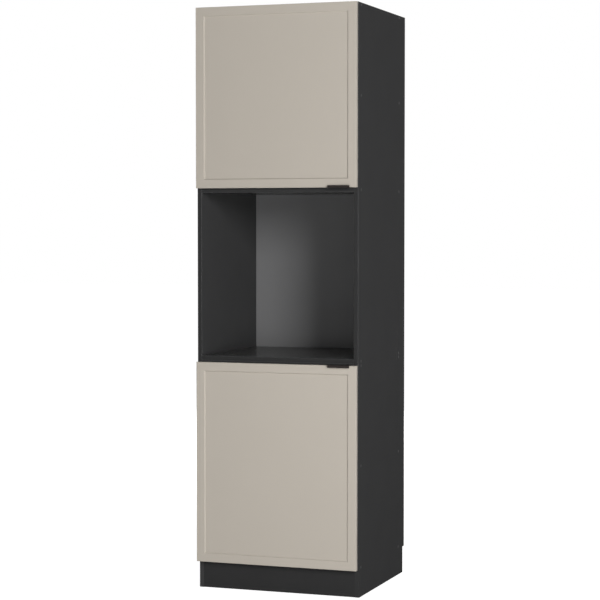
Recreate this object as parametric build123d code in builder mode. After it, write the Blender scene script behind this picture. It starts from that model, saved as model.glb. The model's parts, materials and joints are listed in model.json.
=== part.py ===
"""Tall kitchen unit for a built-in oven: two stacked carcasses, an open oven niche and two hinged doors.

Millimetres. X runs across the front to the right, Y runs from the doors to the wall, Z runs up.
The origin is on the floor, in the middle of the unit's overall width and depth.
"""

import math
import os

from build123d import *

# Carcass
overall_width = 600.0
carcass_depth = 554.0
board = 16.0
lower_carcass_height = 816.0
upper_carcass_height = 1246.0
plinth_height = 96.0
plinth_setback = 14.0
plinth_floor_gap = 0.5
skirting_notch_depth = 18.0
lower_shelf_clearance = 339.0
niche_height = 578.0
upper_shelf_clearance = 309.0
edge_round = 0.8

# Back panels, set in grooves of the side panels
back_thickness = 3.0
back_inset = 16.0
groove_depth = 8.0
groove_clearance = 0.2
back_end_gap = 0.5

# Doors
door_thickness = 16.0
door_gap = 2.6
door_side_reveal = 1.5
lower_door_bottom_reveal = 1.5
lower_door_top_reveal = 6.0
upper_door_bottom_reveal = 15.5
upper_door_top_reveal = 0.5
frame_width = 30.0
field_depth = 4.0
field_slope_width = 3.5
door_front_round = 1.5
door_back_round = 0.6

# Edge pulls
pull_length = 80.0
pull_from_door_edge = 22.0
pull_sheet = 1.5
pull_reach = 10.0
pull_lip_height = 9.0
pull_leg_depth = 12.0
pull_bend_round = 1.2
pull_screw_spacing = 48.0
pull_screw_radius = 1.5
pull_screw_head_radius = 2.8
pull_screw_head_height = 1.2
pull_screw_length = 14.0

# Panel screws, their cover caps, and dowels
screw_setback = 33.0
rear_screw_setback = 73.0
screw_length = 50.0
screw_radius = 3.4
screw_head_radius = 5.0
screw_head_rim = 0.5
screw_head_cone = 2.5
socket_radius = 2.0
socket_depth = 2.5
cap_thickness = 1.2
cap_peg_length = 2.0
dowel_radius = 4.0
dowel_length = 30.0
dowel_in_side = 10.0
dowel_from_screw = 32.0
loose_fit = 0.05

# Connectors between the two carcasses
connector_inset_x = 84.0
connector_inset_y = 80.0
sleeve_radius = 4.0
bolt_radius = 3.0
connector_head_radius = 7.0
connector_head_height = 1.5
sleeve_length = 22.0
bolt_end_gap = 2.0

# Plinth brackets
bracket_leg = 22.0
bracket_height = 50.0
bracket_sheet = 2.0
bracket_screw_spacing = 26.0
small_screw_radius = 1.75
small_screw_head_radius = 3.5
small_screw_head_height = 1.5
small_screw_length = 12.0

# Wall-fixing angles under the top panel
angle_inset_x = 84.0
angle_width = 40.0
angle_leg = 42.0
angle_sheet = 2.5
angle_hole_radius = 4.2
angle_hole_drop = 24.0
angle_screw_spacing = 22.0

# Door buffers
buffer_radius = 4.0
buffer_clearance = 0.3
buffer_end_distance = 40.0

# Concealed hinges: the swing axis, then cup, pins, levers, arm and mounting plate
swing_axis_from_edge = 5.5
swing_axis_from_back = 9.4
hinge_end_distance = 100.0
cup_edge_distance = 22.0
cup_radius = 17.5
cup_depth = 11.5
cup_wall = 1.2
cup_hole_clearance = 0.1
flange_thickness = 1.2
flange_radius = 19.0
flange_screw_spacing = 45.0
flange_screw_offset = 9.5
flange_ear_radius = 5.5
cup_screw_head_height = 1.0
cup_pin_from_centre = 2.5
cup_pin_depth = 4.0
cup_cheek_half_width = 3.4
cup_cheek_drop = 1.0
pin_radius = 1.25
pin_press = 0.02
pin_running = 0.05
open_pivot_clearance = 0.12
arm_pin_from_side = 10.0
arm_pin_setback = 5.0
lever_width = 5.0
lever_sheet = 1.4
link_width = 4.4
link_half_thickness = 5.2
side_play = 0.4
arm_play = 0.3
arm_sheet = 1.2
arm_length = 62.0
arm_top = 13.0
arm_nose_radius = 3.4
arm_web_setback = 10.5
arm_screw_radius = 3.0
arm_screw_head = 1.5
arm_screw_setbacks = (24.0, 44.0)
plate_setback = 37.0
plate_length = 40.0
plate_half_width = 6.8
plate_height = 4.4
wing_height = 2.2
wing_radius = 6.0
plate_screw_spacing = 32.0
plate_screw_radius = 2.4
plate_screw_head_radius = 4.2
plate_screw_head_height = 1.6
plate_screw_length = 13.0

# Places worked out from the sizes above
half_width = overall_width / 2
inner_x = half_width - board
overall_depth = carcass_depth + door_gap + door_thickness + pull_reach
front_y = overall_depth / 2 - carcass_depth
rear_y = overall_depth / 2
back_rear_y = rear_y - back_inset
back_front_y = back_rear_y - back_thickness
panel_rear_y = back_front_y - groove_clearance
unit_height = lower_carcass_height + upper_carcass_height

bottom_z = plinth_height
lower_shelf_z = bottom_z + board + lower_shelf_clearance
lower_top_z = lower_carcass_height - board
niche_floor_z = lower_carcass_height
niche_top_z = niche_floor_z + board + niche_height
upper_shelf_z = niche_top_z + board + upper_shelf_clearance
top_z = unit_height - board

door_back_y = front_y - door_gap
door_front_y = door_back_y - door_thickness
door_left_x = -half_width + door_side_reveal
door_right_x = half_width - door_side_reveal
lower_door_z = bottom_z + lower_door_bottom_reveal
lower_door_height = lower_carcass_height - lower_door_top_reveal - lower_door_z
upper_door_z = niche_top_z + upper_door_bottom_reveal
upper_door_height = unit_height - upper_door_top_reveal - upper_door_z

pull_right_x = door_right_x - pull_from_door_edge
pull_mid_x = pull_right_x - pull_length / 2

swing_axis = Vector(door_left_x + swing_axis_from_edge, door_back_y - swing_axis_from_back)
cup_x = door_left_x + cup_edge_distance
cup_pin = Vector(cup_x + cup_pin_from_centre, door_back_y - cup_pin_depth)
arm_pin = Vector(-inner_x + arm_pin_from_side, front_y + arm_pin_setback)
elbow_pin = arm_pin + (cup_pin - swing_axis)
lever_inner_z = link_half_thickness + side_play
lever_outer_z = lever_inner_z + lever_sheet
arm_inner_z = lever_outer_z + arm_play
arm_outer_z = arm_inner_z + arm_sheet

lower_panels = (("bottom_panel", bottom_z), ("lower_shelf", lower_shelf_z), ("lower_top_panel", lower_top_z))
upper_panels = (
    ("niche_floor", niche_floor_z),
    ("niche_top_panel", niche_top_z),
    ("upper_shelf", upper_shelf_z),
    ("top_panel", top_z),
)
screw_rows = (front_y + screw_setback, rear_y - rear_screw_setback)
dowel_rows = (screw_rows[0] + dowel_from_screw, screw_rows[1] - dowel_from_screw)
doors = (
    ("upper", upper_door_z, upper_door_height),
    ("lower", lower_door_z, lower_door_height),
)


def hinge_levels(door_z, door_height):
    """Heights of a door's two hinges."""
    return (door_z + hinge_end_distance, door_z + door_height - hinge_end_distance)


def slab(low, high, mode=Mode.ADD):
    """A box between two opposite corners."""
    with BuildSketch(Plane.XY.offset(low[2])) as outline:
        with Locations(((low[0] + high[0]) / 2, (low[1] + high[1]) / 2)):
            Rectangle(high[0] - low[0], high[1] - low[1])
    extrude(outline.sketch, amount=high[2] - low[2], mode=mode)


def rod_x(x, points, radius, length, mode=Mode.ADD):
    """Round bars or holes along X, at points (y, z), from x over a signed length."""
    with BuildSketch(Plane.YZ.offset(x)) as circles:
        with Locations(*points):
            Circle(radius)
    extrude(circles.sketch, amount=length, mode=mode)


def rod_y(y, points, radius, length, mode=Mode.ADD):
    """Round bars or holes along Y, at points (x, z), from y over a signed length."""
    with BuildSketch(Plane.XZ.offset(-y)) as circles:
        with Locations(*points):
            Circle(radius)
    extrude(circles.sketch, amount=-length, mode=mode)


def rod_z(z, points, radius, length, mode=Mode.ADD):
    """Round bars or holes along Z, at points (x, y), from z over a signed length."""
    with BuildSketch(Plane.XY.offset(z)) as circles:
        with Locations(*points):
            Circle(radius)
    extrude(circles.sketch, amount=length, mode=mode)


def headed_pin(radius, length, head_radius, head_height, cone_height):
    """A screw along +Z: its head ends at the origin, and narrows to the shank over its cone."""
    with BuildPart() as screw:
        with BuildSketch(Plane.XZ) as half_section:
            with BuildLine():
                Polyline(
                    (0, 0),
                    (head_radius, 0),
                    (head_radius, head_height),
                    (radius, head_height + cone_height),
                    (radius, length),
                    (0, length),
                    close=True,
                )
            make_face()
        revolve(half_section.sketch, axis=Axis.Z)
    return screw.part


def keep(piece, label):
    """Name a finished piece and write it to its own file."""
    piece.label = label
    export_step(piece, f"parts/{label}.step")


def panel_points(panels, rows):
    """Fastener places (y, z) at the middle of each panel's thickness."""
    return [(y, z + board / 2) for name, z in panels for y in rows]


def drill_side(side, panels, z_low, z_high, doors_here):
    """Cut what a side panel holds: panel screws, dowels, groove and hinge-plate screws."""
    outer_x = side * half_width
    screws = panel_points(panels, screw_rows)
    rod_x(outer_x, screws, screw_radius + loose_fit, -side * board, mode=Mode.SUBTRACT)
    for y, z in screws:
        seat = Plane(origin=(outer_x, y, z), x_dir=(0, 1, 0), z_dir=(-side, 0, 0))
        with Locations(seat):
            add(head_seat, mode=Mode.SUBTRACT)
    dowels = panel_points(panels, dowel_rows)
    dowel_hole = side * (dowel_in_side + loose_fit)
    rod_x(side * inner_x, dowels, dowel_radius + loose_fit, dowel_hole, mode=Mode.SUBTRACT)
    groove_x = sorted((side * inner_x, side * (inner_x + groove_depth)))
    groove_low = (groove_x[0], back_front_y - groove_clearance, z_low)
    groove_high = (groove_x[1], back_rear_y + groove_clearance, z_high)
    slab(groove_low, groove_high, mode=Mode.SUBTRACT)
    if side < 0:
        plate_y = front_y + plate_setback
        for door_name, door_z, door_height in doors_here:
            wings = [
                (plate_y, z + end * plate_screw_spacing / 2)
                for z in hinge_levels(door_z, door_height)
                for end in (-1, 1)
            ]
            depth = plate_screw_length - wing_height + loose_fit
            rod_x(-inner_x, wings, plate_screw_radius + loose_fit, -depth, mode=Mode.SUBTRACT)


# Shared shapes of the panel screws: the screw, and the seat that its head and cap need
with BuildPart() as panel_screw_shape:
    shank_end = screw_length - cap_thickness
    add(headed_pin(screw_radius, shank_end, screw_head_radius, screw_head_rim, screw_head_cone))
    with BuildSketch() as socket:
        RegularPolygon(socket_radius, 6)
    extrude(socket.sketch, amount=socket_depth, mode=Mode.SUBTRACT)

head_seat = headed_pin(
    screw_radius + loose_fit,
    board,
    screw_head_radius + loose_fit,
    cap_thickness + screw_head_rim,
    screw_head_cone,
)

with BuildPart() as cap_shape:
    with BuildSketch() as disc:
        Circle(screw_head_radius)
    extrude(disc.sketch, amount=cap_thickness)
    with BuildSketch(Plane.XY.offset(cap_thickness)) as peg:
        RegularPolygon(socket_radius - loose_fit, 6)
    extrude(peg.sketch, amount=cap_peg_length)


def side_panel(side, z_low, z_high, panels, doors_here, notched):
    """A side panel; a notched one stands on the floor and leaves room for plinth and skirting."""
    with BuildPart() as panel:
        x = sorted((side * inner_x, side * half_width))
        slab((x[0], front_y, z_low), (x[1], rear_y, z_high))
        if notched:
            toe = (x[1], front_y + plinth_setback, z_low + plinth_height)
            slab((x[0], front_y, z_low), toe, mode=Mode.SUBTRACT)
            heel = (x[0], rear_y - skirting_notch_depth, z_low)
            slab(heel, (x[1], rear_y, z_low + plinth_height), mode=Mode.SUBTRACT)
        front_edges = panel.edges().filter_by(Axis.Z).group_by(Axis.Y)[0]
        fillet(front_edges, radius=edge_round)
        drill_side(side, panels, z_low, z_high, doors_here)
        if notched:
            rod_x(side * inner_x, plinth_side_screws, small_screw_radius + loose_fit,
                  side * (small_screw_length - bracket_sheet + loose_fit), mode=Mode.SUBTRACT)
    return panel.part


def cross_panel(z, extra_holes):
    """A horizontal panel between the sides, from the carcass front to the back panel."""
    with BuildPart() as panel:
        slab((-inner_x, front_y, z), (inner_x, panel_rear_y, z + board))
        front_edges = panel.edges().filter_by(Axis.X).group_by(Axis.Y)[0]
        fillet(front_edges, radius=edge_round)
        for side in (-1, 1):
            screws = [(y, z + board / 2) for y in screw_rows]
            screw_hole = -side * (screw_length - board + loose_fit)
            rod_x(side * inner_x, screws, screw_radius + loose_fit, screw_hole, mode=Mode.SUBTRACT)
            dowels = [(y, z + board / 2) for y in dowel_rows]
            dowel_hole = -side * (dowel_length - dowel_in_side + loose_fit)
            rod_x(side * inner_x, dowels, dowel_radius + loose_fit, dowel_hole, mode=Mode.SUBTRACT)
        for hole_z, points, radius, length in extra_holes:
            rod_z(hole_z, points, radius, length, mode=Mode.SUBTRACT)
    return panel.part


# Places of the small fasteners
plinth_front_y = front_y + plinth_setback
plinth_rear_y = plinth_front_y + board
bracket_mid_z = plinth_height / 2
bracket_screw_z = [bracket_mid_z + end * bracket_screw_spacing / 2 for end in (-1, 1)]
bracket_screw_y = plinth_rear_y + bracket_sheet + (bracket_leg - bracket_sheet) / 2
plinth_side_screws = [(bracket_screw_y, z) for z in bracket_screw_z]
bracket_screw_x = inner_x - bracket_sheet - (bracket_leg - bracket_sheet) / 2
plinth_board_screws = [(side * bracket_screw_x, z) for side in (-1, 1) for z in bracket_screw_z]

connector_x = inner_x - connector_inset_x
connector_points = [
    (side * connector_x, y)
    for side in (-1, 1)
    for y in (front_y + connector_inset_y, panel_rear_y - connector_inset_y)
]

angle_x = inner_x - angle_inset_x
angle_screw_y = back_front_y - angle_sheet - (angle_leg - angle_sheet) / 2
angle_screws = [
    (side * angle_x + end * angle_screw_spacing / 2, angle_screw_y)
    for side in (-1, 1)
    for end in (-1, 1)
]
wall_holes = [(side * angle_x, top_z - angle_hole_drop) for side in (-1, 1)]

panel_extras = {
    "lower_top_panel": [
        (lower_top_z, connector_points, sleeve_radius + loose_fit, board),
        (lower_top_z, connector_points, connector_head_radius + loose_fit, connector_head_height),
    ],
    "niche_floor": [
        (niche_floor_z, connector_points, sleeve_radius + loose_fit, board),
        (niche_floor_z + board, connector_points, connector_head_radius + loose_fit, -connector_head_height),
    ],
    "top_panel": [
        (top_z, angle_screws, small_screw_radius + loose_fit, small_screw_length - angle_sheet + loose_fit),
    ],
}


def main():
    os.makedirs("parts", exist_ok=True)
    lower_doors = [door for door in doors if door[0] == "lower"]
    upper_doors = [door for door in doors if door[0] == "upper"]
    for side_name, side in (("left", -1), ("right", 1)):
        lower_side = side_panel(side, 0, lower_carcass_height, lower_panels, lower_doors, True)
        keep(lower_side, f"lower_side_{side_name}")
        upper_side = side_panel(side, lower_carcass_height, unit_height, upper_panels, upper_doors, False)
        keep(upper_side, f"upper_side_{side_name}")
    for name, z in lower_panels + upper_panels:
        keep(cross_panel(z, panel_extras.get(name, [])), name)
    keep(plinth_board(), "plinth_board")
    keep(back_panel(bottom_z, lower_carcass_height, []), "lower_back_panel")
    keep(back_panel(lower_carcass_height, unit_height, wall_holes), "upper_back_panel")
    carcass_fasteners()
    for name, door_z, door_height in doors:
        door_set(name, door_z, door_height)


def plinth_board():
    """The board that closes the foot, between the side panels."""
    with BuildPart() as plinth:
        slab((-inner_x, plinth_front_y, plinth_floor_gap), (inner_x, plinth_rear_y, plinth_height))
        depth = small_screw_length - bracket_sheet + loose_fit
        rod_y(plinth_rear_y, plinth_board_screws, small_screw_radius + loose_fit, -depth, mode=Mode.SUBTRACT)
    return plinth.part


def back_panel(z_low, z_high, holes):
    """A thin back panel that slides in the grooves of the side panels."""
    reach = inner_x + groove_depth - back_end_gap
    with BuildPart() as back:
        slab((-reach, back_front_y, z_low + back_end_gap), (reach, back_rear_y, z_high - back_end_gap))
        if holes:
            rod_y(back_front_y, holes, angle_hole_radius, back_thickness, mode=Mode.SUBTRACT)
    return back.part


def carcass_fasteners():
    """Screws, caps, dowels, connectors, plinth brackets and wall-fixing angles."""
    every_panel = lower_panels + upper_panels
    screw_points = panel_points(every_panel, screw_rows)
    with BuildPart() as panel_screws:
        for side in (-1, 1):
            head_x = side * (half_width - cap_thickness)
            for y, z in screw_points:
                with Locations(Plane(origin=(head_x, y, z), x_dir=(0, 1, 0), z_dir=(-side, 0, 0))):
                    add(panel_screw_shape.part)
    keep(panel_screws.part, "panel_screws")

    with BuildPart() as screw_caps:
        for side in (-1, 1):
            for y, z in screw_points:
                with Locations(Plane(origin=(side * half_width, y, z), x_dir=(0, 1, 0), z_dir=(-side, 0, 0))):
                    add(cap_shape.part)
    keep(screw_caps.part, "screw_caps")

    with BuildPart() as panel_dowels:
        for side in (-1, 1):
            start_x = side * (inner_x + dowel_in_side)
            rod_x(start_x, panel_points(every_panel, dowel_rows), dowel_radius, -side * dowel_length)
    keep(panel_dowels.part, "panel_dowels")

    with BuildPart() as connector_sleeves:
        top = niche_floor_z + board
        rod_z(top, connector_points, connector_head_radius, -connector_head_height)
        rod_z(top, connector_points, sleeve_radius, -sleeve_length)
        rod_z(top - sleeve_length, connector_points, bolt_radius + loose_fit,
              sleeve_length - connector_head_height, mode=Mode.SUBTRACT)
    keep(connector_sleeves.part, "connector_sleeves")

    with BuildPart() as connector_bolts:
        bolt_length = 2 * board - connector_head_height - bolt_end_gap
        rod_z(lower_top_z, connector_points, connector_head_radius, connector_head_height)
        rod_z(lower_top_z, connector_points, bolt_radius, bolt_length)
        for x, y in connector_points:
            with BuildSketch(Plane.XY.offset(lower_top_z)) as hex_socket:
                with Locations((x, y)):
                    RegularPolygon(socket_radius, 6)
            extrude(hex_socket.sketch, amount=socket_depth, mode=Mode.SUBTRACT)
    keep(connector_bolts.part, "connector_bolts")

    low_z = bracket_mid_z - bracket_height / 2
    high_z = bracket_mid_z + bracket_height / 2
    with BuildPart() as plinth_brackets:
        for side in (-1, 1):
            leg_x = sorted((side * (inner_x - bracket_leg), side * inner_x))
            wall_x = sorted((side * (inner_x - bracket_sheet), side * inner_x))
            slab((leg_x[0], plinth_rear_y, low_z), (leg_x[1], plinth_rear_y + bracket_sheet, high_z))
            slab((wall_x[0], plinth_rear_y, low_z), (wall_x[1], plinth_rear_y + bracket_leg, high_z))
        rod_y(plinth_rear_y, plinth_board_screws, small_screw_radius + loose_fit, bracket_sheet,
              mode=Mode.SUBTRACT)
        for side in (-1, 1):
            rod_x(side * inner_x, plinth_side_screws, small_screw_radius + loose_fit,
                  -side * bracket_sheet, mode=Mode.SUBTRACT)
    keep(plinth_brackets.part, "plinth_brackets")

    with BuildPart() as plinth_bracket_screws:
        head_y = plinth_rear_y + bracket_sheet
        rod_y(head_y, plinth_board_screws, small_screw_head_radius, small_screw_head_height)
        rod_y(head_y, plinth_board_screws, small_screw_radius, -small_screw_length)
        for side in (-1, 1):
            head_x = side * (inner_x - bracket_sheet)
            rod_x(head_x, plinth_side_screws, small_screw_head_radius, -side * small_screw_head_height)
            rod_x(head_x, plinth_side_screws, small_screw_radius, side * small_screw_length)
    keep(plinth_bracket_screws.part, "plinth_bracket_screws")

    with BuildPart() as wall_angles:
        for side in (-1, 1):
            left_x = side * angle_x - angle_width / 2
            right_x = left_x + angle_width
            slab((left_x, back_front_y - angle_leg, top_z - angle_sheet), (right_x, back_front_y, top_z))
            slab((left_x, back_front_y - angle_sheet, top_z - angle_leg), (right_x, back_front_y, top_z))
        rod_y(back_front_y, wall_holes, angle_hole_radius, -angle_sheet, mode=Mode.SUBTRACT)
        rod_z(top_z, angle_screws, small_screw_radius + loose_fit, -angle_sheet, mode=Mode.SUBTRACT)
    keep(wall_angles.part, "wall_angles")

    with BuildPart() as wall_angle_screws:
        head_z = top_z - angle_sheet
        rod_z(head_z, angle_screws, small_screw_head_radius, -small_screw_head_height)
        rod_z(head_z, angle_screws, small_screw_radius, small_screw_length)
    keep(wall_angle_screws.part, "wall_angle_screws")


def door_set(name, door_z, door_height):
    """One door with its edge pull, buffers and two hinges."""
    levels = hinge_levels(door_z, door_height)
    at_bottom = name == "upper"
    edge_z = door_z if at_bottom else door_z + door_height
    up = 1 if at_bottom else -1
    pull_screws = [(pull_mid_x + end * pull_screw_spacing / 2, door_front_y + pull_leg_depth / 2)
                   for end in (-1, 1)]
    ear_x = cup_x + flange_screw_offset
    ears = [(ear_x, z + end * flange_screw_spacing / 2) for z in levels for end in (-1, 1)]

    with BuildPart() as door:
        slab((door_left_x, door_front_y, door_z), (door_right_x, door_back_y, door_z + door_height))
        front = door.faces().sort_by(Axis.Y)[0]
        fillet(front.edges(), radius=door_front_round)
        back = door.faces().filter_by(Axis.Y).sort_by(Axis.Y)[-1]
        fillet(back.edges(), radius=door_back_round)
        with BuildSketch(Plane.XZ.offset(-door_front_y)) as field:
            with Locations((0, door_z + door_height / 2)):
                Rectangle(door_right_x - door_left_x - 2 * frame_width, door_height - 2 * frame_width)
        slope = math.degrees(math.atan2(field_slope_width, field_depth))
        extrude(field.sketch, amount=-field_depth, taper=slope, mode=Mode.SUBTRACT)
        cups = [(cup_x, z) for z in levels]
        rod_y(door_back_y, cups, cup_radius + cup_hole_clearance, -cup_depth, mode=Mode.SUBTRACT)
        rod_y(door_back_y, ears, small_screw_radius + loose_fit,
              -(small_screw_length - flange_thickness + loose_fit), mode=Mode.SUBTRACT)
        rod_z(edge_z, pull_screws, pull_screw_radius + loose_fit,
              up * (pull_screw_length + loose_fit), mode=Mode.SUBTRACT)
    keep(door.part, f"{name}_door")

    with BuildPart() as pull:
        leg_z = sorted((edge_z - up * pull_sheet, edge_z))
        lip_z = sorted((edge_z - up * pull_sheet, edge_z + up * (pull_lip_height - pull_sheet)))
        lip_y = door_front_y - pull_reach
        left_x = pull_right_x - pull_length
        slab((left_x, lip_y, leg_z[0]), (pull_right_x, door_front_y + pull_leg_depth, leg_z[1]))
        slab((left_x, lip_y, lip_z[0]), (pull_right_x, lip_y + pull_sheet, lip_z[1]))
        bend = pull.edges().filter_by(Axis.X).group_by(Axis.Y)[0].sort_by(Axis.Z)
        fillet(bend[0] if at_bottom else bend[-1], radius=pull_bend_round)
        rod_z(edge_z, pull_screws, pull_screw_radius + loose_fit, -up * pull_sheet, mode=Mode.SUBTRACT)
    keep(pull.part, f"{name}_edge_pull")

    with BuildPart() as screws:
        head_z = edge_z - up * pull_sheet
        rod_z(head_z, pull_screws, pull_screw_head_radius, -up * pull_screw_head_height)
        rod_z(head_z, pull_screws, pull_screw_radius, up * (pull_sheet + pull_screw_length))
    keep(screws.part, f"{name}_pull_screws")

    with BuildPart() as buffers:
        buffer_x = (inner_x + half_width) / 2
        places = [(buffer_x, door_z + buffer_end_distance),
                  (buffer_x, door_z + door_height - buffer_end_distance)]
        rod_y(door_back_y, places, buffer_radius, door_gap - buffer_clearance)
    keep(buffers.part, f"{name}_door_buffers")

    hinge_set(name, levels, ears)


def bar(start, end, width, low_z, high_z):
    """A flat bar with round ends, from one pivot to another, between two heights."""
    middle = (start + end) * 0.5
    along = end - start
    slot_plane = Plane(origin=(middle.X, middle.Y, low_z), x_dir=(along.X, along.Y, 0), z_dir=(0, 0, 1))
    with BuildSketch(slot_plane) as shape:
        SlotCenterToCenter(along.length, width)
    extrude(shape.sketch, amount=high_z - low_z)


def hinge_set(name, levels, ears):
    """The two concealed hinges of a door, each kind of piece in its own node."""
    with BuildPart() as cups:
        for z in levels:
            rod_y(door_back_y, [(cup_x, z)], cup_radius, -cup_depth)
            with BuildSketch(Plane.XZ.offset(-door_back_y)) as flange:
                with Locations((cup_x, z)):
                    Circle(flange_radius)
                with Locations((cup_x + flange_screw_offset, z)):
                    SlotCenterToCenter(flange_screw_spacing, 2 * flange_ear_radius, rotation=90)
            extrude(flange.sketch, amount=-flange_thickness)
            mouth_y = door_back_y + flange_thickness
            bowl_depth = cup_depth + flange_thickness - cup_wall
            rod_y(mouth_y, [(cup_x, z)], cup_radius - cup_wall, -bowl_depth, mode=Mode.SUBTRACT)
            for end in (-1, 1):
                cheek_z = sorted((z + end * lever_inner_z, z + end * lever_outer_z))
                low = (cup_pin.X - cup_cheek_half_width, door_back_y - cup_depth, cheek_z[0])
                high = (cup_pin.X + cup_cheek_half_width, door_back_y - cup_cheek_drop, cheek_z[1])
                slab(low, high)
            rod_z(z - lever_outer_z, [(cup_pin.X, cup_pin.Y)], pin_radius + pin_press,
                  2 * lever_outer_z, mode=Mode.SUBTRACT)
        rod_y(door_back_y, ears, small_screw_radius + loose_fit, flange_thickness, mode=Mode.SUBTRACT)
    keep(cups.part, f"{name}_hinge_cups")

    with BuildPart() as cup_screws:
        head_y = door_back_y + flange_thickness
        rod_y(head_y, ears, small_screw_head_radius, cup_screw_head_height)
        rod_y(head_y, ears, small_screw_radius, -small_screw_length)
    keep(cup_screws.part, f"{name}_hinge_cup_screws")

    with BuildPart() as cup_pins:
        for z in levels:
            rod_z(z - lever_outer_z, [(cup_pin.X, cup_pin.Y)], pin_radius, 2 * lever_outer_z)
    keep(cup_pins.part, f"{name}_hinge_cup_pins")

    with BuildPart() as levers:
        along = elbow_pin - arm_pin
        middle = (arm_pin + elbow_pin) * 0.5
        for z in levels:
            for end in (-1, 1):
                plate_z = sorted((z + end * lever_inner_z, z + end * lever_outer_z))
                bar(arm_pin, elbow_pin, lever_width, plate_z[0], plate_z[1])
            web_origin = (middle.X, middle.Y, z - lever_outer_z)
            with BuildSketch(Plane(origin=web_origin, x_dir=(along.X, along.Y, 0), z_dir=(0, 0, 1))) as web:
                with Locations((0, (lever_width - lever_sheet) / 2)):
                    Rectangle(along.length - 2 * lever_width, lever_sheet)
            extrude(web.sketch, amount=2 * lever_outer_z)
            holes = [(arm_pin.X, arm_pin.Y)]
            rod_z(z - lever_outer_z, holes, pin_radius + pin_running, 2 * lever_outer_z, mode=Mode.SUBTRACT)
            holes = [(elbow_pin.X, elbow_pin.Y)]
            rod_z(z - lever_outer_z, holes, pin_radius + pin_press, 2 * lever_outer_z, mode=Mode.SUBTRACT)
    keep(levers.part, f"{name}_hinge_levers")

    with BuildPart() as elbow_pins:
        for z in levels:
            rod_z(z - lever_outer_z, [(elbow_pin.X, elbow_pin.Y)], pin_radius, 2 * lever_outer_z)
    keep(elbow_pins.part, f"{name}_hinge_elbow_pins")

    with BuildPart() as links:
        for z in levels:
            bar(elbow_pin, cup_pin, link_width, z - link_half_thickness, z + link_half_thickness)
            for pin, clearance in ((elbow_pin, pin_running), (cup_pin, open_pivot_clearance)):
                rod_z(z - link_half_thickness, [(pin.X, pin.Y)], pin_radius + clearance,
                      2 * link_half_thickness, mode=Mode.SUBTRACT)
    keep(links.part, f"{name}_hinge_links")

    with BuildPart() as arms:
        rear = front_y + arm_length
        for z in levels:
            for end in (-1, 1):
                cheek_z = sorted((z + end * arm_inner_z, z + end * arm_outer_z))
                low = (-inner_x + plate_height, arm_pin.Y, cheek_z[0])
                slab(low, (-inner_x + arm_top, rear, cheek_z[1]))
                rod_z(cheek_z[0], [(arm_pin.X, arm_pin.Y)], arm_nose_radius, arm_sheet)
            web_low = (-inner_x + arm_top - arm_sheet, front_y + arm_web_setback, z - arm_outer_z)
            slab(web_low, (-inner_x + arm_top, rear, z + arm_outer_z))
            rod_z(z - arm_outer_z, [(arm_pin.X, arm_pin.Y)], pin_radius + pin_press, 2 * arm_outer_z,
                  mode=Mode.SUBTRACT)
    keep(arms.part, f"{name}_hinge_arms")

    with BuildPart() as arm_pins:
        for z in levels:
            rod_z(z - arm_outer_z, [(arm_pin.X, arm_pin.Y)], pin_radius, 2 * arm_outer_z)
    keep(arm_pins.part, f"{name}_hinge_arm_pins")

    with BuildPart() as plates:
        plate_y = front_y + plate_setback
        for z in levels:
            low = (-inner_x, plate_y - plate_length / 2, z - plate_half_width)
            high = (-inner_x + plate_height, plate_y + plate_length / 2, z + plate_half_width)
            slab(low, high)
            with BuildSketch(Plane.YZ.offset(-inner_x)) as wings:
                with Locations((plate_y, z)):
                    SlotCenterToCenter(plate_screw_spacing, 2 * wing_radius, rotation=90)
            extrude(wings.sketch, amount=wing_height)
            holes = [(plate_y, z + end * plate_screw_spacing / 2) for end in (-1, 1)]
            rod_x(-inner_x, holes, plate_screw_radius + loose_fit, wing_height, mode=Mode.SUBTRACT)
    keep(plates.part, f"{name}_hinge_plates")

    with BuildPart() as plate_screws:
        for z in levels:
            places = [(front_y + plate_setback, z + end * plate_screw_spacing / 2) for end in (-1, 1)]
            head_x = -inner_x + wing_height
            rod_x(head_x, places, plate_screw_head_radius, plate_screw_head_height)
            rod_x(head_x, places, plate_screw_radius, -plate_screw_length)
    keep(plate_screws.part, f"{name}_hinge_plate_screws")

    with BuildPart() as arm_screws:
        places = [(front_y + setback, z) for z in levels for setback in arm_screw_setbacks]
        rod_x(-inner_x + arm_top, places, arm_screw_radius, arm_screw_head)
    keep(arm_screws.part, f"{name}_hinge_arm_screws")


main()
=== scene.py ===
"""Looks of the tall oven housing unit: finishes, studio light and camera."""

import json
import math

import bmesh
import bpy
from mathutils import Matrix, Vector


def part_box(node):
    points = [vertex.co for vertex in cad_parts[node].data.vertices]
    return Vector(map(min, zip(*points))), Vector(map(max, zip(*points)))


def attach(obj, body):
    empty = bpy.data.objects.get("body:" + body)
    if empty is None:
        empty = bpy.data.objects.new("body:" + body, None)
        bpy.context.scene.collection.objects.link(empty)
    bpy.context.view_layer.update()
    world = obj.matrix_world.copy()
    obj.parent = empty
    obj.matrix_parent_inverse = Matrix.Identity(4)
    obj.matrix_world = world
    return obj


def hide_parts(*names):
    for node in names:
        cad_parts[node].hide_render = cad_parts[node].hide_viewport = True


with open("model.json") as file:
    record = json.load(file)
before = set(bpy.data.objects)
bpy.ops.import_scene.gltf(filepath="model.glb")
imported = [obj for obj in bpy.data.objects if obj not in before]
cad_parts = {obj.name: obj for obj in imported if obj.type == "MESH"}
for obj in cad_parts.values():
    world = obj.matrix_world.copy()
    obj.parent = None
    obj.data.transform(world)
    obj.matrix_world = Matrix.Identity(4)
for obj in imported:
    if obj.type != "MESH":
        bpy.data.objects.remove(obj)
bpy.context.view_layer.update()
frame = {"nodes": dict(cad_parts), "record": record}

MM = 0.001
WHITE = (1.0, 1.0, 1.0, 1.0)
UP = Vector((0.0, 0.0, 1.0))

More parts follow.
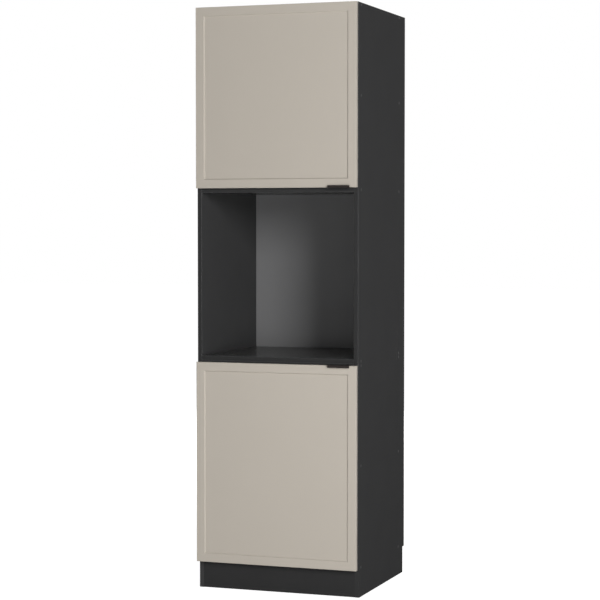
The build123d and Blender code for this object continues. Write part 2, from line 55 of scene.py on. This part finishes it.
# Camera, fitted to the straight edges of the photograph
IMAGE_SIDE = 600
CAMERA_PLACE = (2.3303, -6.4824, 1.3023)
CAMERA_YAW = 19.837
CAMERA_DIP = 2.319
FOCAL_PIXELS = 1897.1
SENSOR_WIDTH = 36.0
VIEW_END = 200.0

# All lamps look at the middle of the unit; the surround adds a little light
LAMP_TARGET = (0.0, 0.0, 1.12)
AMBIENT = 0.03

# The floor glows a little less near the unit, and fades into the white surround
FLOOR_HALF_SIDE = 30.0
FLOOR_GREY = 0.75
FLOOR_GLOW = 0.82
FADE_START = 1.2
FADE_END = 3.0

# The colours of the boards, and the range that most of a noise's values lie in
ANTHRACITE = (0.0405, 0.0405, 0.0411)
GREIGE = (0.442, 0.404, 0.353)
NOISE_LOW = 0.3
NOISE_HIGH = 0.7

# Screws, sleeves and buffers; each cross recess is turned a golden angle further than the last one
WELD_DISTANCE = 0.001 * MM
LATHE_STEPS = 40
GOLDEN_TURN = 2.39996
SHARP_EDGE = 35.0
BUFFER_SHARP_EDGE = 50.0

# Edge bands: a hair proud of the board in front, and a hair narrower than the board
BAND_DEPTH = 1.0 * MM
BAND_ROUND = 0.8 * MM
BAND_PROUD = 0.03 * MM
BAND_SHY = 0.02 * MM
BAND_CORNER_STEPS = 4

LEVEL_BOARDS = (
    "bottom_panel",
    "lower_shelf",
    "lower_top_panel",
    "niche_floor",
    "niche_top_panel",
    "upper_shelf",
    "top_panel",
)


class Finish:
    """A material in the making: its node tree, and the shader that its values go to."""

    def __init__(self, name, roughness, metallic=0.0, specular=0.5):
        self.material = bpy.data.materials.new(name)
        self.material.use_nodes = True
        self.tree = self.material.node_tree
        self.shader = self.tree.nodes["Principled BSDF"]
        self.shader.inputs["Roughness"].default_value = roughness
        self.shader.inputs["Metallic"].default_value = metallic
        self.shader.inputs["Specular IOR Level"].default_value = specular
        self.place = self.node("ShaderNodeTexCoord")

    def node(self, kind, inputs=None, **settings):
        """A node with its settings; each input is a value or another node's output."""
        made = self.tree.nodes.new(kind)
        for name, value in settings.items():
            setattr(made, name, value)
        for name, value in (inputs or {}).items():
            self.feed(made.inputs[name], value)
        return made

    def feed(self, socket, value):
        if isinstance(value, bpy.types.NodeSocket):
            self.tree.links.new(value, socket)
        else:
            socket.default_value = value

    def stretched(self, scale):
        """Object coordinates in metres, times a scale for each axis."""
        inputs = {"Vector": self.place.outputs["Object"], "Scale": scale}
        return self.node("ShaderNodeMapping", inputs).outputs[0]

    def noise(self, scale, detail=2.0, stretch=None):
        """Noise with a scale in features per metre."""
        vector = self.stretched(stretch) if stretch else self.place.outputs["Object"]
        made = self.node("ShaderNodeTexNoise", {"Vector": vector, "Scale": scale, "Detail": detail})
        return made.outputs["Fac"]

    def ramp(self, value, low, high, to_low, to_high):
        """A value's share of the way from low to high, turned into the range to_low to to_high."""
        inputs = {"Value": value, "From Min": low, "From Max": high, "To Min": to_low, "To Max": to_high}
        return self.node("ShaderNodeMapRange", inputs).outputs["Result"]

    def spread(self, noise, to_low, to_high):
        """A noise spread over the range to_low to to_high."""
        return self.ramp(noise, NOISE_LOW, NOISE_HIGH, to_low, to_high)

    def math(self, operation, first, second=0.0):
        made = self.node("ShaderNodeMath", operation=operation)
        self.feed(made.inputs[0], first)
        self.feed(made.inputs[1], second)
        return made.outputs[0]

    def mix(self, share, first, second):
        """A colour between two colours."""
        made = self.node("ShaderNodeMix", data_type="RGBA")
        for name, value in (("Factor_Float", share), ("A_Color", first), ("B_Color", second)):
            socket = next(s for s in made.inputs if s.identifier == name)
            if isinstance(value, tuple):
                value = (*value, 1.0)
            self.feed(socket, value)
        return next(s for s in made.outputs if s.identifier == "Result_Color")

    def tones(self, share, base, darkest, lightest):
        """A colour between a darker and a lighter tone of a base, both given as factors of it."""
        return self.mix(share, toned(base, darkest), toned(base, lightest))

    def shades(self, value, stops):
        """A colour from a value, by stops of place and colour."""
        made = self.node("ShaderNodeValToRGB", {"Fac": value})
        elements = made.color_ramp.elements
        while len(elements) < len(stops):
            elements.new(0.5)
        for element, (place, color) in zip(elements, stops):
            element.position = place
            element.color = (*color, 1.0)
        return made.outputs["Color"]

    def color(self, value):
        self.feed(self.shader.inputs["Base Color"], value)

    def roughness(self, value):
        self.feed(self.shader.inputs["Roughness"], value)

    def relief(self, *layers, edge_radius=None):
        """Bumps of height (value, depth in metres) on edges that are softened over a radius."""
        normal = None
        if edge_radius:
            normal = self.node("ShaderNodeBevel", {"Radius": edge_radius}, samples=6).outputs["Normal"]
        for value, depth in layers:
            bump = self.node("ShaderNodeBump", {"Height": value, "Distance": depth, "Strength": 1.0})
            if normal:
                self.feed(bump.inputs["Normal"], normal)
            normal = bump.outputs["Normal"]
        self.feed(self.shader.inputs["Normal"], normal)

    def facing(self, axis, sign):
        """1 where the surface faces along an axis of the object, and 0 elsewhere."""
        turned_away, turned_to = 0.6, 0.8
        split = self.node("ShaderNodeSeparateXYZ", {"Vector": self.place.outputs["Normal"]})
        along = self.math("MULTIPLY", split.outputs[axis], sign)
        return self.ramp(along, turned_away, turned_to, 0.0, 1.0)


def toned(color, factor):
    return tuple(c * factor for c in color)


def chipboard(finish, thin_axis):
    """Colour and height of raw chipboard, whose chips lie flat along the board's faces."""
    chip_share = 0.55
    flattening = [1.0, 1.0, 1.0]
    flattening[thin_axis] = 2.6
    flat = finish.stretched(flattening)
    chips = finish.node("ShaderNodeTexVoronoi", {"Vector": flat, "Scale": 420.0, "Randomness": 1.0})
    fines = finish.node("ShaderNodeTexNoise", {"Vector": flat, "Scale": 900.0, "Detail": 4.0})
    height = finish.math("ADD", finish.math("MULTIPLY", chips.outputs["Color"], chip_share),
                         finish.math("MULTIPLY", fines.outputs["Fac"], 1.0 - chip_share))
    color = finish.shades(height, (
        (0.22, (0.10, 0.055, 0.026)),
        (0.45, (0.27, 0.17, 0.088)),
        (0.62, (0.40, 0.275, 0.155)),
        (0.85, (0.52, 0.39, 0.24)),
    ))
    return color, height


def carcass_board(name, base, roughness=0.8, specular=0.02, raw_rear=False):
    """Anthracite melamine with a fine pearl texture; the rear and foot edges may be raw chipboard."""
    roughness_spread = 0.06
    raw_roughness = 0.12
    pearl_tone = 1.6
    pearl_share = 0.35
    finish = Finish(name, roughness, specular=specular)
    cloud = finish.noise(7.0, 3.0)
    grain = finish.noise(1500.0, 2.0)
    color = finish.tones(cloud, base, 0.93, 1.07)
    pearls = finish.ramp(grain, 0.55, 0.75, 0.0, pearl_share)
    color = finish.mix(pearls, color, toned(base, pearl_tone))
    rough = finish.spread(grain, roughness - roughness_spread, roughness + roughness_spread)
    layers = [(grain, 0.010 * MM), (finish.noise(420.0, 1.0), 0.012 * MM)]
    if raw_rear:
        raw = finish.math("MAXIMUM", finish.facing("Y", 1.0), finish.facing("Z", -1.0))
        wood, height = chipboard(finish, thin_axis=0)
        color = finish.mix(raw, color, wood)
        rough = finish.math("ADD", rough, finish.math("MULTIPLY", raw, raw_roughness))
        layers.append((finish.math("MULTIPLY", raw, height), 0.25 * MM))
    finish.color(color)
    finish.roughness(rough)
    finish.relief(*layers, edge_radius=0.6 * MM)
    return finish.material


def door_board(name, base):
    """Greige matt foil over fibreboard, with a faint orange peel."""
    finish = Finish(name, 0.5, specular=0.2)
    finish.color(finish.tones(finish.noise(5.0, 3.0), base, 0.985, 1.015))
    finish.roughness(finish.spread(finish.noise(900.0, 2.0), 0.50, 0.60))
    grain = (finish.noise(650.0, 2.0), 0.006 * MM)
    orange_peel = (finish.noise(90.0, 1.0), 0.020 * MM)
    finish.relief(grain, orange_peel, edge_radius=0.5 * MM)
    return finish.material


def back_board():
    """Thin hardboard: grey lacquer in front, raw brown fibre behind."""
    grey = (0.180, 0.180, 0.182)
    dark_fibre = (0.13, 0.070, 0.034)
    light_fibre = (0.27, 0.165, 0.088)
    finish = Finish("back_board", 0.45, specular=0.12)
    rear = finish.facing("Y", 1.0)
    front = finish.tones(finish.noise(6.0, 3.0), grey, 0.97, 1.03)
    fibre = finish.noise(700.0, 4.0, stretch=(1.0, 1.0, 0.35))
    finish.color(finish.mix(rear, front, finish.mix(fibre, dark_fibre, light_fibre)))
    finish.roughness(finish.ramp(rear, 0.0, 1.0, 0.42, 0.85))
    raised = finish.math("MULTIPLY", fibre, finish.ramp(rear, 0.0, 1.0, 0.15, 1.0))
    finish.relief((raised, 0.03 * MM))
    return finish.material


def black_metal():
    """Black powder coat with a fine grain."""
    finish = Finish("black_metal", 0.5, specular=0.14)
    grain = finish.noise(2600.0, 2.0)
    finish.color(finish.tones(grain, (0.016, 0.0125, 0.011), 0.8, 1.3))
    finish.roughness(finish.spread(grain, 0.44, 0.58))
    finish.relief((grain, 0.010 * MM), edge_radius=0.3 * MM)
    return finish.material


def nickel_steel():
    """Nickel plated steel, with the faint streaks of rolled sheet."""
    finish = Finish("nickel_steel", 0.48, metallic=1.0)
    streaks = finish.noise(900.0, 3.0, stretch=(1.0, 0.12, 1.0))
    finish.color(finish.tones(streaks, (0.47, 0.47, 0.46), 0.90, 1.10))
    finish.roughness(finish.spread(streaks, 0.42, 0.54))
    finish.relief((streaks, 0.004 * MM), edge_radius=0.2 * MM)
    return finish.material


def cap_plastic():
    """Moulded caps in nearly the colour of the board."""
    finish = Finish("cap_plastic", 0.6, specular=0.08)
    grain = finish.noise(1800.0, 2.0)
    finish.color(finish.tones(grain, (0.044, 0.044, 0.045), 0.9, 1.1))
    finish.roughness(finish.spread(grain, 0.54, 0.66))
    finish.relief((grain, 0.006 * MM), edge_radius=0.3 * MM)
    return finish.material


def dowel_wood():
    """Beech, with short darker flecks along the dowel."""
    finish = Finish("dowel_wood", 0.6, specular=0.3)
    flecks = finish.noise(1200.0, 3.0, stretch=(0.12, 1.0, 1.0))
    finish.color(finish.shades(flecks, ((0.3, (0.36, 0.22, 0.12)), (0.6, (0.58, 0.40, 0.24)))))
    finish.relief((flecks, 0.02 * MM))
    return finish.material


def buffer_rubber():
    """Clear soft elastomer, slightly clouded."""
    finish = Finish("buffer_rubber", 0.3)
    cloud = finish.noise(300.0, 2.0)
    finish.color(finish.tones(cloud, (0.78, 0.78, 0.75), 0.92, 1.0))
    finish.roughness(finish.spread(cloud, 0.22, 0.36))
    finish.shader.inputs["Transmission Weight"].default_value = 0.5
    finish.shader.inputs["IOR"].default_value = 1.45
    return finish.material


# Painted shade: the edge bands' faces are darker than the boards, for the shadow that the doors cast on the
# front edges; their round corners are glossier.
band_face_painted_shade = carcass_board("carcass_board_edge_painted_shade", toned(ANTHRACITE, 0.78))
band_corner = carcass_board("carcass_board_corner", ANTHRACITE, roughness=0.30, specular=0.36)
finishes = {
    "carcass_board": carcass_board("carcass_board", ANTHRACITE),
    "door_board": door_board("door_board", GREIGE),
    "back_board": back_board(),
    "black_metal": black_metal(),
    "steel": nickel_steel(),
    "cap_plastic": cap_plastic(),
    "dowel_wood": dowel_wood(),
    "buffer_rubber": buffer_rubber(),
}
record = frame["record"]
slot_by_node = {subpart["node"]: subpart["material_slot"] for subpart in record["subparts"]}
body_by_node = {}
for body, nodes in record["behaviour"]["bodies"].items():
    for node in nodes:
        body_by_node[node] = body


def variants():
    """Finishes of single boards that differ a little from their slot's finish: in gloss, and in a tone made
    lighter or darker as painted light and painted shade.
    """
    # Painted light and shade: the left side panels are made lighter and the right side panels darker than
    # the one board colour they share.
    left_side_painted_light = carcass_board("carcass_board_left_painted_light", toned(ANTHRACITE, 1.18), raw_rear=True)
    right_side_painted_shade = carcass_board("carcass_board_right_painted_shade", toned(ANTHRACITE, 0.89), raw_rear=True)
    # Painted light: the level boards' colour is made a little lighter than the other boards'; their gloss
    # comes from roughness and specular.
    level = carcass_board("carcass_board_level_painted_light", toned(ANTHRACITE, 1.05), roughness=0.30, specular=0.45)
    chosen = {node: level for node in LEVEL_BOARDS}
    chosen["top_panel"] = carcass_board("carcass_board_top", ANTHRACITE, roughness=0.62, specular=0.10)
    # Painted shade: the plinth is made darker than the board colour, standing in for the shadow under the
    # lower door.
    chosen["plinth_board"] = carcass_board("carcass_board_plinth_painted_shade", toned(ANTHRACITE, 0.79))
    # Painted light: the lower door is made lighter than the upper one, though both are the same foil.
    chosen["lower_door"] = door_board("door_board_lower_painted_light", toned(GREIGE, 1.07))
    for carcass in ("lower", "upper"):
        chosen[carcass + "_side_left"] = left_side_painted_light
        chosen[carcass + "_side_right"] = right_side_painted_shade
    return chosen


def dress_nodes():
    """Give each CAD node its own variant, or else the finish of its material slot."""
    chosen = variants()
    for node, slot in slot_by_node.items():
        materials = frame["nodes"][node].data.materials
        materials.clear()
        materials.append(chosen.get(node, finishes[slot]))


def around(azimuth, height, distance):
    """A place round the unit; azimuth 0 is straight in front, and positive is to the right."""
    angle = math.radians(azimuth)
    return (math.sin(angle) * distance, -math.cos(angle) * distance, height)


def soft_box(name, place, size, watts):
    """A rectangular area lamp that looks at the middle of the unit."""
    light = bpy.data.lights.new(name, "AREA")
    light.shape = "RECTANGLE"
    light.size, light.size_y = size
    light.energy = watts
    lamp = bpy.data.objects.new(name, light)
    lamp.location = place
    lamp.rotation_mode = "QUATERNION"
    lamp.rotation_quaternion = (Vector(LAMP_TARGET) - Vector(place)).to_track_quat("-Z", "Y")
    bpy.context.scene.collection.objects.link(lamp)


def seen_ray(nodes, links):
    """1 for camera, glossy and transmission rays, and 0 for the rays that light the object."""
    path = nodes.new("ShaderNodeLightPath")
    total = path.outputs["Is Camera Ray"]
    for name in ("Is Glossy Ray", "Is Transmission Ray"):
        added = nodes.new("ShaderNodeMath")
        added.operation = "MAXIMUM"
        links.new(total, added.inputs[0])
        links.new(path.outputs[name], added.inputs[1])
        total = added.outputs[0]
    return total


def studio_world():
    """A white surround to look at, and a weaker one that lights the object."""
    world = bpy.data.worlds.new("studio")
    world.use_nodes = True
    bpy.context.scene.world = world
    nodes, links = world.node_tree.nodes, world.node_tree.links
    lighting = nodes["Background"]
    lighting.inputs["Color"].default_value = WHITE
    lighting.inputs["Strength"].default_value = AMBIENT
    shown = nodes.new("ShaderNodeBackground")
    shown.inputs["Color"].default_value = WHITE
    shown.inputs["Strength"].default_value = 1.0
    mix = nodes.new("ShaderNodeMixShader")
    links.new(seen_ray(nodes, links), mix.inputs["Fac"])
    links.new(lighting.outputs["Background"], mix.inputs[1])
    links.new(shown.outputs["Background"], mix.inputs[2])
    links.new(mix.outputs["Shader"], nodes["World Output"].inputs["Surface"])


def floor_material():
    """Pale grey in the light, with a glow for the rays that see it, which hides its far edge."""
    material = bpy.data.materials.new("studio_floor")
    material.use_nodes = True
    nodes, links = material.node_tree.nodes, material.node_tree.links
    nodes.remove(nodes["Principled BSDF"])
    lit = nodes.new("ShaderNodeBsdfDiffuse")
    lit.inputs["Color"].default_value = (FLOOR_GREY, FLOOR_GREY, FLOOR_GREY, 1.0)
    place = nodes.new("ShaderNodeTexCoord")
    distance = nodes.new("ShaderNodeVectorMath")
    distance.operation = "LENGTH"
    links.new(place.outputs["Object"], distance.inputs[0])
    strength = nodes.new("ShaderNodeMapRange")
    fade = {"From Min": FADE_START, "From Max": FADE_END, "To Min": FLOOR_GLOW, "To Max": 1.0}
    for name, value in fade.items():
        strength.inputs[name].default_value = value
    links.new(distance.outputs["Value"], strength.inputs["Value"])
    glow = nodes.new("ShaderNodeEmission")
    glow.inputs["Color"].default_value = WHITE
    links.new(strength.outputs["Result"], glow.inputs["Strength"])
    shown = nodes.new("ShaderNodeAddShader")
    links.new(lit.outputs["BSDF"], shown.inputs[0])
    links.new(glow.outputs["Emission"], shown.inputs[1])
    mix = nodes.new("ShaderNodeMixShader")
    links.new(seen_ray(nodes, links), mix.inputs["Fac"])
    links.new(lit.outputs["BSDF"], mix.inputs[1])
    links.new(shown.outputs["Shader"], mix.inputs[2])
    links.new(mix.outputs["Shader"], nodes["Material Output"].inputs["Surface"])
    return material


def studio_floor():
    """A wide flat floor, which takes the unit's shadow."""
    mesh = bpy.data.meshes.new("studio_floor")
    side = FLOOR_HALF_SIDE
    corners = [(-side, -side, 0.0), (side, -side, 0.0), (side, side, 0.0), (-side, side, 0.0)]
    mesh.from_pydata(corners, [], [(0, 1, 2, 3)])
    mesh.materials.append(floor_material())
    floor = bpy.data.objects.new("studio_floor", mesh)
    bpy.context.scene.collection.objects.link(floor)


def studio():
    studio_world()
    studio_floor()
    soft_box("key", around(37.5, height=2.6, distance=6.0), size=(1.4, 1.6), watts=214.0)
    soft_box("low", around(42.0, height=0.5, distance=5.5), size=(1.7, 0.8), watts=84.0)
    soft_box("fill_left", around(-18.0, height=0.8, distance=7.0), size=(3.0, 1.0), watts=22.0)
    soft_box("fill_right", around(18.0, height=0.6, distance=7.0), size=(3.0, 1.0), watts=42.0)
    soft_box("back", around(184.0, height=1.9, distance=6.0), size=(3.0, 3.0), watts=190.0)
    soft_box("left", around(-98.0, height=1.9, distance=6.0), size=(3.0, 3.0), watts=150.0)


def solids_of(node):
    """The corners of each separate solid of a CAD node."""
    welded = bmesh.new()
    welded.from_mesh(frame["nodes"][node].data)
    bmesh.ops.remove_doubles(welded, verts=welded.verts, dist=WELD_DISTANCE)
    clouds, seen = [], set()
    for first in welded.verts:
        if first in seen:
            continue
        cloud, front = [], [first]
        seen.add(first)
        while front:
            vert = front.pop()
            cloud.append(vert.co.copy())
            for edge in vert.link_edges:
                other = edge.other_vert(vert)
                if other not in seen:
                    seen.add(other)
                    front.append(other)
        clouds.append(cloud)
    welded.free()
    return clouds


class Turned:
    """Place and sizes of a turned solid: its wide end, the way that end looks, its head, shank and bore."""

    # Corners past the first share of a radius are on its rim, and those under the second one are not
    RIM_SHARE = 0.95
    INNER_SHARE = 0.9

    def __init__(self, cloud, outward=None):
        low = Vector(min(point[i] for point in cloud) for i in range(3))
        high = Vector(max(point[i] for point in cloud) for i in range(3))
        size = high - low
        if outward is None:
            axis = max(range(3), key=lambda i: size[i])
        else:
            axis = max(range(3), key=lambda i: abs(outward[i]))
        self.middle = (low + high) / 2

        def radius(point):
            offset = point - self.middle
            offset[axis] = 0.0
            return offset.length

        self.head_radius = max(radius(point) for point in cloud)
        wide = [point[axis] for point in cloud if radius(point) > self.RIM_SHARE * self.head_radius]
        self.head_height = max(wide) - min(wide)
        self.length = size[axis]
        if outward is None:
            sign = 1.0 if sum(wide) / len(wide) > self.middle[axis] else -1.0
            outward = Vector((0.0, 0.0, 0.0))
            outward[axis] = sign
        self.outward = Vector(outward)
        self.top = self.middle + self.outward * (self.length / 2)
        narrow = [radius(point) for point in cloud if radius(point) < self.INNER_SHARE * self.head_radius]
        self.shank_radius = max(narrow, default=0.0)
        self.bore_radius = min(narrow, default=0.0)
        if self.bore_radius >= self.INNER_SHARE * self.shank_radius:
            self.bore_radius = 0.0


def lathe(shape, profile):
    """Turn a profile of (radius, height) points round Z; both its ends lie on the axis."""
    rings = []
    for radius, height in profile:
        if radius == 0.0:
            rings.append([shape.verts.new((0.0, 0.0, height))])
            continue
        ring = []
        for step in range(LATHE_STEPS):
            angle = 2 * math.pi * step / LATHE_STEPS
            ring.append(shape.verts.new((radius * math.cos(angle), radius * math.sin(angle), height)))
        rings.append(ring)
    for upper, lower in zip(rings, rings[1:]):
        for step in range(LATHE_STEPS):
            following = (step + 1) % LATHE_STEPS
            corners = [upper[step % len(upper)], lower[step % len(lower)],
                       lower[following % len(lower)], upper[following % len(upper)]]
            shape.faces.new(list(dict.fromkeys(corners)))
    bmesh.ops.recalc_face_normals(shape, faces=shape.faces)


def soften(shape, limit):
    """Smooth shading, with the edges that are sharper than the limit in degrees kept sharp."""
    for face in shape.faces:
        face.smooth = True
    for edge in shape.edges:
        if len(edge.link_faces) == 2 and edge.calc_face_angle(0.0) > math.radians(limit):
            edge.smooth = False


def mesh_object(name, shape):
    mesh = bpy.data.meshes.new(name)
    shape.to_mesh(mesh)
    shape.free()
    made = bpy.data.objects.new(name, mesh)
    bpy.context.scene.collection.objects.link(made)
    return made


def stand(shape, piece, solid, spin=0.0, sharp=SHARP_EDGE):
    """Add a piece, made with its top at the origin and looking up, in the place of a turned solid."""
    turn = UP.rotation_difference(solid.outward).to_matrix().to_4x4()
    piece.transform(Matrix.Translation(solid.top) @ turn @ Matrix.Rotation(spin, 4, "Z"))
    soften(piece, sharp)
    placed = bpy.data.meshes.new("placed")
    piece.to_mesh(placed)
    piece.free()
    shape.from_mesh(placed)
    bpy.data.meshes.remove(placed)


def settle(piece, node, replaces, finish=None):
    """Give a piece its CAD node's body, and the finish of that node's slot or its own."""
    slot = slot_by_node[node]
    piece.data.materials.append(finish or finishes[slot])
    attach(piece, body_by_node[node])
    if replaces:
        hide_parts(node)


def head_profile(fastener, dome):
    """A pan head over a pointed shank or a bored sleeve, or a plain button where there is no shank."""
    radius, height = fastener.head_radius, fastener.head_height
    shank, bore, length = fastener.shank_radius, fastener.bore_radius, fastener.length
    rim = 0.22 * height
    chamfer = 0.3 * rim
    chamfer_drop = 0.97 * dome
    point_length = 1.5 * shank
    point_radius = 0.35 * shank
    dome_shares = (0.25, 0.5, 0.7, 0.85)
    profile = [(0.0, 0.0)]
    profile += [(radius * share, -dome * share ** 2) for share in dome_shares]
    profile += [(radius - chamfer, -chamfer_drop), (radius, -dome - rim)]
    profile += [(radius, -height + chamfer), (radius - chamfer, -height)]
    if bore:
        profile += [(shank, -height), (shank, -length), (bore, -length), (bore, -height), (0.0, -height)]
    elif shank:
        profile += [(shank, -height), (shank, -length + point_length), (point_radius, -length)]
        profile.append((0.0, -length))
    else:
        profile.append((0.0, -height))
    return profile


def cross_cutter(reach, half_width, depth, lift):
    """A cross-shaped recess tool that narrows towards its bottom, its arms' reach more than their width."""
    bottom_share = 0.42
    least_reach = 1.2
    shape = bmesh.new()
    rings = []
    for share, height in ((1.0, lift), (1.0, 0.0), (bottom_share, -depth)):
        w = half_width * (0.55 + 0.45 * share)
        a = max(reach * share, least_reach * w)
        outline = ((a, -w), (a, w), (w, w), (w, a), (-w, a), (-w, w), (-a, w), (-a, -w), (-w, -w), (-w, -a),
                   (w, -a), (w, -w))
        rings.append([shape.verts.new((x, y, height)) for x, y in outline])
    for upper, lower in zip(rings, rings[1:]):
        for i in range(len(upper)):
            following = (i + 1) % len(upper)
            shape.faces.new((upper[i], upper[following], lower[following], lower[i]))
    shape.faces.new(rings[0])
    shape.faces.new(reversed(rings[-1]))
    bmesh.ops.recalc_face_normals(shape, faces=shape.faces)
    return shape


def recessed(fastener, dome):
    """A fastener's mesh, its head up along +Z at the origin, with a cross recess."""
    reach = 0.58 * fastener.head_radius
    half_width = 0.2 * fastener.head_radius
    depth = 0.75 * fastener.head_height
    if fastener.shank_radius and not fastener.bore_radius:
        depth = 1.1 * fastener.head_height
    shape = bmesh.new()
    lathe(shape, head_profile(fastener, dome))
    blank = mesh_object("fastener_blank", shape)
    cutter = mesh_object("fastener_cutter", cross_cutter(reach, half_width, depth, lift=0.5 * MM))
    cut = blank.modifiers.new("recess", "BOOLEAN")
    cut.operation = "DIFFERENCE"
    cut.solver = "EXACT"
    cut.object = cutter
    bpy.context.view_layer.update()
    mesh = bpy.data.meshes.new_from_object(blank.evaluated_get(bpy.context.evaluated_depsgraph_get()))
    for made in (blank, cutter):
        bpy.data.objects.remove(made)
    return mesh


def cross_head_screws(node, outward=None, dome=0.3):
    """Stand cross-head screws in the places of a CAD node's plain ones."""
    fasteners = [Turned(cloud, outward) for cloud in solids_of(node)]
    pattern = recessed(fasteners[0], dome * fasteners[0].head_height)
    shape = bmesh.new()
    for count, fastener in enumerate(fasteners):
        screw = bmesh.new()
        screw.from_mesh(pattern)
        stand(shape, screw, fastener, spin=GOLDEN_TURN * count)
    bpy.data.meshes.remove(pattern)
    settle(mesh_object(node + "_cross", shape), node, replaces=True)


def buffer_profile(radius, height):
    """A low dome on a thin skirt."""
    dome_steps = 9
    dome_radius = 0.93 * radius
    skirt = 0.18 * height
    profile = [(0.0, 0.0)]
    for step in range(1, dome_steps + 1):
        angle = math.radians(90.0 / dome_steps * step)
        profile.append((dome_radius * math.sin(angle), (height - skirt) * (math.cos(angle) - 1.0)))
    profile += [(radius, skirt - height), (radius, -height), (0.0, -height)]
    return profile


def domed_buffers(node):
    """Soft bumpers in the places of a CAD node's plain ones."""
    shape = bmesh.new()
    for cloud in solids_of(node):
        bumper = Turned(cloud, (0.0, 1.0, 0.0))
        dome = bmesh.new()
        lathe(dome, buffer_profile(bumper.head_radius, bumper.length))
        stand(shape, dome, bumper, sharp=BUFFER_SHARP_EDGE)
    settle(mesh_object(node + "_domed", shape), node, replaces=True)


def band_outline(half_board):
    """Section of an edge band with two round corners: across the board, and back from its face."""
    turn = 90.0 / BAND_CORNER_STEPS
    outline = [(-half_board, BAND_DEPTH)]
    for side, start in ((-1.0, 180.0), (1.0, 90.0)):
        for step in range(BAND_CORNER_STEPS + 1):
            angle = math.radians(start - turn * step)
            across = side * (half_board - BAND_ROUND) + BAND_ROUND * math.cos(angle)
            outline.append((across, BAND_ROUND - BAND_ROUND * math.sin(angle)))
    outline.append((half_board, BAND_DEPTH))
    return outline


def is_band_corner(face, across):
    """True for the slanted faces between a band's front and its sides."""
    front_slant, side_slant = 0.05, 0.999
    looks_forward = face.normal.y < -0.01
    return len(face.verts) == 4 and looks_forward and front_slant < abs(face.normal[across]) < side_slant


def edge_band(node, along):
    """A plastic band glued to a board's front edge."""
    low, high = (Vector(corner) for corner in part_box(node))
    across = 0 if along == 2 else 2
    middle = (low[across] + high[across]) / 2
    outline = band_outline((high[across] - low[across]) / 2 - BAND_SHY)
    start, end = low[along] + BAND_SHY, high[along] - BAND_SHY
    if node.startswith("lower_side"):
        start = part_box("plinth_board")[1][2]
    shape = bmesh.new()
    rings = []
    for place in (start, end):
        ring = []
        for offset, back in outline:
            point = Vector((0.0, low[1] - BAND_PROUD + back, 0.0))
            point[across] = middle + offset
            point[along] = place
            ring.append(shape.verts.new(point))
        rings.append(ring)
    for i in range(len(outline)):
        following = (i + 1) % len(outline)
        shape.faces.new((rings[0][i], rings[0][following], rings[1][following], rings[1][i]))
    shape.faces.new(rings[0])
    shape.faces.new(reversed(rings[1]))
    bmesh.ops.recalc_face_normals(shape, faces=shape.faces)
    soften(shape, SHARP_EDGE)
    for face in shape.faces:
        if is_band_corner(face, across):
            face.material_index = 1
    band = mesh_object(node + "_edge_band", shape)
    # The band's faces take the darker tone, which is painted shade on the front edges.
    settle(band, node, replaces=False, finish=band_face_painted_shade)
    band.data.materials.append(band_corner)


def small_parts():
    for door in ("upper", "lower"):
        cross_head_screws(f"{door}_hinge_cup_screws")
        cross_head_screws(f"{door}_hinge_plate_screws")
        cross_head_screws(f"{door}_hinge_arm_screws", outward=(1.0, 0.0, 0.0), dome=0.1)
        cross_head_screws(f"{door}_pull_screws")
        domed_buffers(f"{door}_door_buffers")
    cross_head_screws("plinth_bracket_screws")
    cross_head_screws("wall_angle_screws")
    cross_head_screws("connector_sleeves", outward=(0.0, 0.0, 1.0), dome=0.05)
    for node in LEVEL_BOARDS:
        edge_band(node, along=0)
    for node in slot_by_node:
        if "_side_" in node:
            edge_band(node, along=2)


def photo_camera():
    """The photograph's camera, which looks slightly down and needs no shift."""
    camera = bpy.data.cameras.new("camera")
    camera.sensor_width = SENSOR_WIDTH
    camera.lens = FOCAL_PIXELS / IMAGE_SIDE * SENSOR_WIDTH
    camera.clip_end = VIEW_END
    shot = bpy.data.objects.new("camera", camera)
    shot.location = CAMERA_PLACE
    shot.rotation_euler = (math.radians(90.0 - CAMERA_DIP), 0.0, math.radians(CAMERA_YAW))
    bpy.context.scene.collection.objects.link(shot)
    bpy.context.scene.camera = shot


dress_nodes()
small_parts()
studio()
photo_camera()
bpy.context.scene.view_settings.view_transform = "Standard"
